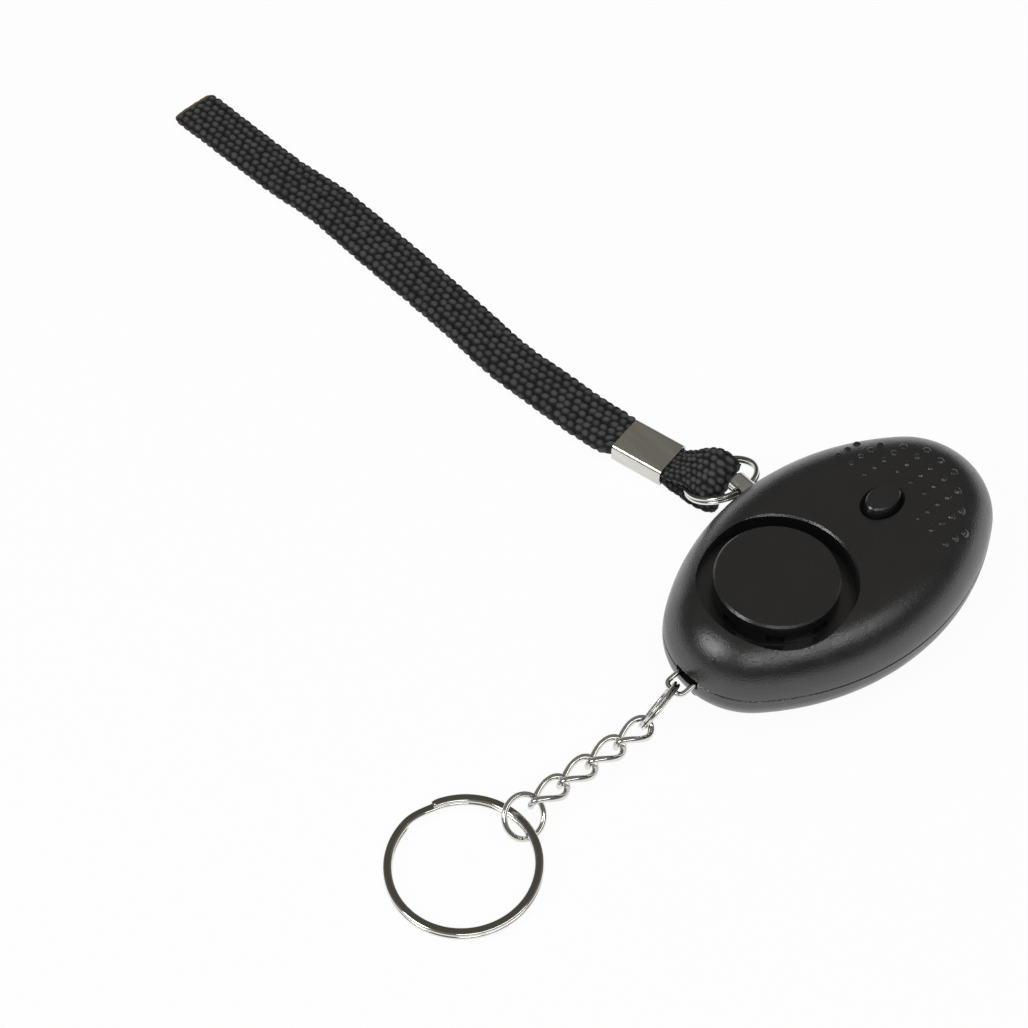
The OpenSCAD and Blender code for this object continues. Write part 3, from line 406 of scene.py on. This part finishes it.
def layer_width(d, free):
    """Width of a layer that passes through the clamp and is free outside it."""
    q = freedom(d)
    return (CLAMP_IN_W - 2 * CLAMP_CLEAR) * (1 - q) + free * q


def relief(d):
    """Share of the stitches' height that is left: the clamp presses them flat."""
    return PRESSED + (1 - PRESSED) * freedom(d)


def oval_section(k):
    """Flat oval outline as (across, through, share of the way round), evenly spaced for a wide tube."""
    t = np.linspace(0, 2 * np.pi, OVAL_STEPS)
    x = signed_power(np.cos(t), OVAL_POWER) * OVAL_ASPECT
    y = signed_power(np.sin(t), OVAL_POWER)
    s = distances(np.stack([x, y], 1))
    share = np.arange(k) / k
    return np.interp(share * s[-1], s, x) / OVAL_ASPECT, np.interp(share * s[-1], s, y), share


def stitches(along, share, columns, pitch, jitter):
    """Height and tone (0 to 1) of a braid's stitches at points along and round a flat tube; the tone falls to
    0 between stitches as painted shade.
    """
    rng = np.random.default_rng(STITCH_SEED)
    shift = rng.uniform(-1, 1, (STITCH_KINDS, 2)) * jitter
    shade = rng.uniform(LEAST_SHADE, 1.0, STITCH_KINDS)
    a, c = np.meshgrid(along / pitch, share * columns, indexing="ij")
    height, tone = np.zeros_like(a), np.zeros_like(a)
    for next_column in (-1, 0, 1, 2):
        col = np.floor(c) + next_column
        odd = np.mod(col, 2)
        lean = np.radians(np.where(odd > 0, STITCH_TILT, -STITCH_TILT))
        for next_row in (-1, 0, 1, 2):
            row = np.floor(a - 0.5 * odd) + next_row
            kind = np.mod(row * ROW_KEY + np.mod(col, columns) * COLUMN_KEY, STITCH_KINDS).astype(int)
            du = (a - (row + 0.5 * odd) + shift[kind, 0]) * ROW_SQUASH
            dv = c - col + shift[kind, 1]
            p = du * np.cos(lean) + dv * np.sin(lean)
            q = -du * np.sin(lean) + dv * np.cos(lean)
            dome = np.clip(1 - (p / STITCH_LONG) ** 2 - (q / STITCH_WIDE) ** 2, 0, 1)
            height = np.maximum(height, np.sqrt(dome))
            # Tone is the stitch's random shade times its dome, so the gaps between stitches get painted shade
            tone = np.maximum(tone, dome * shade[kind])
    return height, tone


def braid(name, path, side, through, width, thick, rise, pitch, columns, jitter, sealed=None):
    """Flat braided tube: a flat oval swept on a path, its skin raised into stitches."""
    ox, oy, share = oval_section(columns * STITCH_POINTS)
    height, tone = stitches(distances(path), share, columns, pitch, jitter)
    x, y = ox[None] * width[:, None] / 2, oy[None] * thick[:, None] / 2
    # The outward direction of the section is its tangent turned a quarter
    tx, ty = np.roll(x, -1, 1) - np.roll(x, 1, 1), np.roll(y, -1, 1) - np.roll(y, 1, 1)
    lift = (height - STITCH_INSET) * rise[:, None] / (np.hypot(tx, ty) + 1e-9)
    x, y = x + ty * lift, y - tx * lift
    rings = path[:, None] + side[:, None] * x[..., None] + through[:, None] * y[..., None]
    seal = np.zeros_like(height) if sealed is None else np.broadcast_to(sealed[:, None], height.shape)
    # The stitches' tone is stored on the skin, where it paints shade between the stitches
    return skin_mesh(name, rings, values={"painted_crown_shade": tone, "sealed": seal})


def make_strap():
    """The strap's braid, with its middle line and the distance along it."""
    route = [(x + PIN_X, y + HOLE_Y, z) for x, y, z in STRAP_ROUTE]
    line, d = resample(curve(route, CURVE_STEPS), STRAP_STEP)
    t = tangents(line)
    side = unit(np.stack([t[:, 1], -t[:, 0], np.zeros(len(t))], 1))
    out = np.linalg.norm(line[:, :2] - CLAMP_AT[:2], axis=1)
    left = d[-1] - d
    near = np.clip(1 - left / END_L, 0, 1)
    q = freedom(out)
    thick = ((CLAMP_IN_H - 2 * CLAMP_CLEAR) * (1 - q) + STRAP_T * q) * (1 - END_THIN * near)
    narrow = END_NARROW * np.clip(1 - left / END_NARROW_L, 0, 1) ** 2
    width = layer_width(out, STRAP_W - SIDE_TRIM) * (1 + WAVE * np.sin(d * WAVE_RATE) - narrow)
    rise = STRAP_RISE * relief(out) * (1 - END_FLAT * near ** 2)
    sealed = np.clip(1 - left / SEAL_L, 0, 1) ** SEAL_POWER
    obj = braid("strap_braid", line, side, np.cross(side, t), width, thick, rise, STRAP_PITCH,
                STRAP_COLUMNS, STRAP_JITTER, sealed)
    return obj, line, d


def make_fold():
    """The strap's folded end, built at the clamp's middle and then turned and moved to its place."""
    across, out, z, roll, thick = curve(FOLD_ROUTE, CURVE_STEPS).T
    columns = np.stack([across, -out, z - FOLD_MID_Z, out, np.radians(roll), thick], 1)
    route = resample(columns, FOLD_STEP)[0]
    line = route[:, :3]
    out, roll, thick = route[:, 3:].T
    t = tangents(line)
    through = unit(np.cross(t, np.stack([np.cos(roll), np.zeros(len(roll)), np.sin(roll)], 1)))
    side = np.cross(through, t)
    flare = FLARE * ease(np.clip((out - FLARE_FROM) / FLARE_RUN, 0, 1))
    width = layer_width(out, FOLD_W - SIDE_TRIM) + flare
    rise = FOLD_RISE * relief(out) * np.clip(thick / FULL_T, LEAST_RISE, 1)
    turn = rot_z(CLAMP_TURN)
    return braid("strap_fold_braid", place(line, turn, CLAMP_AT), place(side, turn), place(through, turn),
                 width, thick - FACE_TRIM, rise, FOLD_PITCH, FOLD_COLUMNS, FOLD_JITTER)


strap, strap_line, strap_d = make_strap()
strap.data.materials.append(BRAID)
fold = make_fold()
fold.data.materials.append(BRAID)
for piece, node in ((strap, "strap"), (fold, "strap_fold")):
    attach(piece, "strap")
    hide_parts(node)

# Metal pieces, placed as in the CAD source
WIRE_POINTS, WIRE_POWER, WIRE_SIDES = 28, 2.15, 16
TURN_STEPS, CLIMB_STEPS, TURN_FILL = 120, 14, 0.985
ROUNDED_END = (0.8, 0.95)


def crowned_section(w, t):
    """Outline of a flat wire with gently crowned faces and round edges, anticlockwise."""
    a = np.linspace(0, 2 * np.pi, WIRE_POINTS, endpoint=False)
    x = w / 2 * signed_power(np.cos(a), 2 / WIRE_POWER)
    y = t / 2 * signed_power(np.sin(a), 2 / WIRE_POWER)
    return np.stack([x, y], 1)


def split_ring(od, w, t, climb, start):
    """Two turns of flat wire, the lower one climbing to the upper; also how flat the skin is there."""
    turn = 360.0 - climb
    a = np.concatenate([np.linspace(0, turn, TURN_STEPS), np.linspace(turn, 360, CLIMB_STEPS)[1:],
                        np.linspace(360, 360 + turn, TURN_STEPS)[1:]])
    z = -t / 2 + t * ease(np.clip((a - turn) / climb, 0, 1))
    shrink = np.ones((len(a), 1, 1))
    for k, share in enumerate(ROUNDED_END):
        shrink[[k, -1 - k]] = share
    angle = np.radians(start + a)
    outward = np.stack([np.cos(angle), np.sin(angle), np.zeros(len(a))], 1)
    up = np.array([0, 0, 1.0])
    middle = outward * (od / 2 - w / 2) + up * z[:, None]
    section = crowned_section(w, t * TURN_FILL)[::-1]
    x, y = section[None, :, :1] * shrink, section[None, :, 1:] * shrink
    rings = middle[:, None] + outward[:, None] * x + up * y
    flat = np.abs(section[:, 1]) / np.abs(section[:, 1]).max()
    return rings, np.broadcast_to(flat ** 2, rings.shape[:2])


def round_rings(path, normals, radius, closed):
    """Rings of round wire along a path; normals give where each ring starts."""
    t = tangents(path, closed)
    n = unit(normals - t * np.sum(normals * t, 1, keepdims=True))
    a = np.linspace(0, 2 * np.pi, WIRE_SIDES, endpoint=False)
    x, y = radius * np.cos(a)[None, :, None], radius * np.sin(a)[None, :, None]
    return path[:, None] + n[:, None] * x + np.cross(t, n)[:, None] * y


def metal_piece(name, rings, node, body, closed=False, flat=None):
    obj = skin_mesh(name, rings, closed, None if flat is None else {"flat": flat})
    obj.data.materials.append(NICKEL if flat is None else RING)
    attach(obj, body)
    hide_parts(node)


# Wire loop on the body, whose bar carries the small ring
HALF_L, POST_END = 32.3, 3.1
LOOP_OUT, LOOP_DROP, LOOP_SLOPE, LOOP_WIRE = 2.95, 0.25, 7, 0.9
BAR = np.array([POST_END - HALF_L, 0, SEAM_Z - LOOP_DROP]) - step_up(POST_END + LOOP_OUT, LOOP_SLOPE)

# Small split ring, and the point near its far side where the first link hooks in
LINK_CLEAR = 0.12
SMALL_OD, SMALL_W, SMALL_T = 9.6, 0.9, 0.62
CHAIN_SLOPE, CHAIN_LEAN = 34, 64
HOOK_GAP, HOOK_RISE, HOOK_SHIFT = 1.3, 25, 0.5
SMALL_IN = SMALL_OD / 2 - SMALL_W
SMALL_HANG = SMALL_IN - LOOP_WIRE / 2 - LINK_CLEAR
SMALL_REACH = SMALL_HANG + SMALL_IN + SMALL_W / 2
HOOK = BAR - step_up(SMALL_REACH, CHAIN_SLOPE) + step_up(HOOK_GAP, HOOK_RISE) - [0, HOOK_SHIFT, 0]

# Curb links
LINKS, LINK_PITCH, LINK_WIRE, LINK_W = 4, 5.9, 1.1, 3.9
LINK_TWIST, LINK_ROLL, LINK_POINTS, LINK_POWER = 60, 20, 96, 0.85
CHAIN_RISE, CHAIN_TURN = 1.5, 0.9
CHAIN_DIR = rot_z(-CHAIN_TURN) @ rot_y(CHAIN_RISE) @ np.array([-1.0, 0, 0])
LINK_SPAN = LINK_PITCH + LINK_WIRE + LINK_CLEAR

# Jump ring, leaning with its low side just above the floor and the last link hooked into it
JUMP_OD, JUMP_WIRE, JUMP_CLEAR, JUMP_LEAN, JUMP_TURN = 8, 1, 0.42, 45, 20
JUMP_ARC, JUMP_STEPS, FLOOR_CLEAR = 358, 120, 0.02
JUMP_R = (JUMP_OD - JUMP_WIRE) / 2
LEAN_SIN, LEAN_COS = math.sin(math.radians(JUMP_LEAN)), math.cos(math.radians(JUMP_LEAN))
JUMP_Z = JUMP_R * LEAN_SIN + JUMP_WIRE / 2 + FLOOR_CLEAR
CHAIN_L = LINK_SPAN + (LINKS - 1) * LINK_PITCH
JUMP_AT = HOOK + CHAIN_DIR * (CHAIN_L - LINK_WIRE / 2 - JUMP_WIRE / 2 - JUMP_CLEAR)
JUMP_UP = (JUMP_AT[2] - JUMP_Z) / LEAN_SIN
JUMP = np.array([JUMP_AT[0] - math.sqrt(JUMP_R ** 2 - JUMP_UP ** 2), JUMP_AT[1] - JUMP_UP * LEAN_COS, JUMP_Z])

# Key ring, tilted from the jump ring down to the floor, and the ring through the pin
KEY_OD, KEY_W, KEY_T = 25, 1.45, 0.9
KEY_SHIFT, KEY_CLEAR = [-0.55, 0.1, -0.85], 0.05
KEY_MID = (KEY_OD - KEY_W) / 2
KEY = JUMP + KEY_SHIFT
KEY_TILT = math.degrees(math.asin((KEY[2] - KEY_T - KEY_CLEAR) / (2 * KEY_MID)))
PIN_RING_OD, PIN_RING_W, PIN_RING_T, PIN_RING_SLOPE = 13.4, 0.9, 0.72, 27
PIN_RING_MID = (PIN_RING_OD - PIN_RING_W) / 2


def link_middle():
    """Closed middle line of a curb link's wire, twisted along its length, and a side direction."""
    t = np.radians(360 * (np.arange(LINK_POINTS) + 0.5) / LINK_POINTS)
    c, s = signed_power(np.cos(t), LINK_POWER), signed_power(np.sin(t), LINK_POWER)
    a = np.radians(LINK_TWIST * c)
    p = np.stack([LINK_SPAN / 2 * c, LINK_W / 2 * s * np.cos(a), LINK_W / 2 * s * np.sin(a)], 1)
    b = np.radians(LINK_TWIST * np.cos(t))
    up = np.stack([np.zeros(LINK_POINTS), -np.sin(b), np.cos(b)], 1)
    return p, np.cross(tangents(p, True), up)


def make_chain():
    """The small split ring, the links and the jump ring."""
    turns, flat = split_ring(SMALL_OD, SMALL_W, SMALL_T, climb=28, start=60)
    moves = ([-SMALL_HANG, 0, 0], rot_x(-CHAIN_LEAN), rot_y(-CHAIN_SLOPE), BAR)
    metal_piece("small_split_ring", place(turns, *moves), "chain_ring", "ring", flat=flat)
    path, side = link_middle()
    rings = round_rings(path, side, LINK_WIRE / 2, True)
    moves = ([-LINK_SPAN / 2, 0, 0], rot_x(-LINK_ROLL), rot_y(CHAIN_RISE), rot_z(-CHAIN_TURN))
    for k in range(LINKS):
        link = place(rings, *moves, HOOK + CHAIN_DIR * LINK_PITCH * k)
        metal_piece("curb_link_%d" % (k + 1), link, "chain_link_%d" % (k + 1), "link_%d" % (k + 1),
                    closed=True)
    a = np.radians(np.linspace(0, JUMP_ARC, JUMP_STEPS))
    path = np.stack([JUMP_R * np.cos(a), JUMP_R * np.sin(a), np.zeros(JUMP_STEPS)], 1)
    rings = round_rings(path, path, JUMP_WIRE / 2, False)
    metal_piece("wire_jump_ring", place(rings, rot_z(JUMP_TURN), rot_x(JUMP_LEAN), JUMP), "jump_ring", "jump")


def make_split_rings():
    """The key ring and the pin's ring."""
    turns, flat = split_ring(KEY_OD, KEY_W, KEY_T, climb=26, start=100)
    rings = place(turns, [-KEY_MID, 0, 0], rot_y(-KEY_TILT), KEY)
    metal_piece("split_key_ring", rings, "key_ring", "key", flat=flat)
    turns, flat = split_ring(PIN_RING_OD, PIN_RING_W, PIN_RING_T, climb=24, start=100)
    rings = place(turns, [0, PIN_RING_MID, 0], rot_x(-PIN_RING_SLOPE), [PIN_X, HOLE_Y, SEAM_Z])
    metal_piece("pin_split_ring", rings, "pin_ring", "strap", flat=flat)


make_chain()
make_split_rings()

# CAD pieces that stay: outer ones are painted by node, inner ones by material slot
PAINT = {
    "front_shell": SHELL,
    "rear_shell": SHELL,
    "siren_cap": CAP,
    "push_button": BUTTON,
    "chain_loop": NICKEL,
    "pull_pin": NICKEL,
    "strap_clamp": CLAMP,
}
INNER = {
    "holder": plain("natural_plastic", (0.58, 0.55, 0.46), (0.66, 0.63, 0.54), 0.5),
    "brass": plain("brass_sheet", (0.62, 0.46, 0.20), (0.72, 0.56, 0.27), 0.28, metallic=1.0),
    "ceramic": plain("silvered_ceramic", (0.66, 0.65, 0.62), (0.74, 0.73, 0.70), 0.4),
    "switch": plain("switch_plastic", (0.03, 0.03, 0.035), (0.045, 0.045, 0.05), 0.45),
    "plunger": plain("plunger_plastic", (0.45, 0.09, 0.02), (0.52, 0.12, 0.03), 0.45),
    "board": plain("board_green", (0.012, 0.085, 0.03), (0.02, 0.12, 0.045), 0.35),
    "ferrite": plain("ferrite", (0.035, 0.035, 0.037), (0.06, 0.06, 0.062), 0.6),
    "copper": plain("copper_winding", (0.42, 0.15, 0.05), (0.55, 0.22, 0.08), 0.3, metallic=1.0),
    "chip": plain("chip_mould", (0.012, 0.012, 0.012), (0.02, 0.02, 0.02), 0.55),
    "cell": plain("cell_can", (0.58, 0.58, 0.57), (0.68, 0.68, 0.67), 0.25, metallic=1.0),
    "contact": plain("contact_sheet", (0.66, 0.54, 0.30), (0.76, 0.64, 0.38), 0.25, metallic=1.0),
    "wire": plain("wire_red", (0.42, 0.02, 0.015), (0.52, 0.03, 0.02), 0.5),
    "screw": plain("zinc_screw", (0.48, 0.48, 0.47), (0.60, 0.60, 0.58), 0.3, metallic=1.0),
}
for sub in frame["record"]["subparts"]:
    mat = PAINT.get(sub["node"]) or INNER.get(sub["material_slot"])
    if mat is not None:
        obj = nodes[sub["node"]]
        obj.data.materials.clear()
        obj.data.materials.append(mat)

# Floor, world and lamps; places and sizes are in metres
FLOOR_HALF, FLOOR_Z, FLOOR_WHITE = 3.0, -0.0002, 0.95
WARM_TOP = (0.205, 0.195, 0.175)
SKY = [(0.0, grey(0.35)), (0.06, grey(0.14)), (0.35, grey(0.13)), (0.62, WARM_TOP), (1.0, WARM_TOP)]


def make_floor():
    """White floor: it looks lit to the camera and in reflections, and takes soft shadows."""
    mesh = bpy.data.meshes.new("floor")
    corners = [(-1, -1), (1, -1), (1, 1), (-1, 1)]
    mesh.from_pydata([(x * FLOOR_HALF, y * FLOOR_HALF, FLOOR_Z) for x, y in corners], [], [(0, 1, 2, 3)])
    obj = bpy.data.objects.new("floor", mesh)
    bpy.context.collection.objects.link(obj)
    mat = bpy.data.materials.new("white_floor")
    mat.use_nodes = True
    tree = mat.node_tree
    tree.nodes.clear()
    rays = tree.nodes.new("ShaderNodeLightPath").outputs
    seen = math_node(tree, "MAXIMUM", rays["Is Camera Ray"], rays["Is Glossy Ray"])
    seen = math_node(tree, "MAXIMUM", seen, rays["Is Transmission Ray"])
    diffuse = tree.nodes.new("ShaderNodeBsdfDiffuse")
    diffuse.inputs["Color"].default_value = (0.85, 0.85, 0.85, 1)
    glow = tree.nodes.new("ShaderNodeEmission")
    glow.inputs["Color"].default_value = (1, 1, 1, 1)
    glow.inputs["Strength"].default_value = 1.0
    mix = tree.nodes.new("ShaderNodeMixShader")
    tree.links.new(math_node(tree, "MULTIPLY", seen, FLOOR_WHITE), mix.inputs[0])
    tree.links.new(diffuse.outputs[0], mix.inputs[1])
    tree.links.new(glow.outputs[0], mix.inputs[2])
    out = tree.nodes.new("ShaderNodeOutputMaterial")
    tree.links.new(mix.outputs[0], out.inputs["Surface"])
    mesh.materials.append(mat)


def make_world():
    """Dim studio, brighter at the horizon and below, warm above, and plain white to the camera."""
    world = bpy.data.worlds.new("studio")
    bpy.context.scene.world = world
    world.use_nodes = True
    tree = world.node_tree
    tree.nodes.clear()
    source = tree.nodes.new("ShaderNodeTexCoord")
    parts = tree.nodes.new("ShaderNodeSeparateXYZ")
    tree.links.new(source.outputs["Generated"], parts.inputs[0])
    rays = tree.nodes.new("ShaderNodeLightPath").outputs
    colour = mix_colour(tree, rays["Is Camera Ray"], ramp(tree, parts.outputs["Z"], SKY), (1, 1, 1))
    background = tree.nodes.new("ShaderNodeBackground")
    background.inputs["Strength"].default_value = 1.0
    tree.links.new(colour, background.inputs["Color"])
    out = tree.nodes.new("ShaderNodeOutputWorld")
    tree.links.new(background.outputs[0], out.inputs["Surface"])


def area(name, location, target, size, power, glossy=True):
    """Rectangular lamp turned to a target; one that is not glossy leaves no reflection."""
    data = bpy.data.lights.new(name, "AREA")
    data.shape = "RECTANGLE"
    data.size, data.size_y = size
    data.energy = power
    obj = bpy.data.objects.new(name, data)
    bpy.context.collection.objects.link(obj)
    obj.location = location
    obj.rotation_mode = "QUATERNION"
    obj.rotation_quaternion = (Vector(target) - Vector(location)).to_track_quat("-Z", "Y")
    obj.visible_camera = False
    obj.visible_glossy = glossy


make_floor()
make_world()
area("left", (-0.86, 0.20, 0.72), (-0.02, 0.04, 0), (0.42, 0.36), 3.3)
area("front", (0.02, -0.78, 0.84), (-0.01, 0.02, 0), (0.9, 0.18), 1.9)
area("behind_camera", (-0.62, -0.66, 0.86), (-0.02, 0.03, 0), (0.4, 0.25), 1.2)
area("top_fill", (0.0, 0.05, 1.2), (0.0, 0.05, 0), (1.2, 1.2), 6.5, glossy=False)
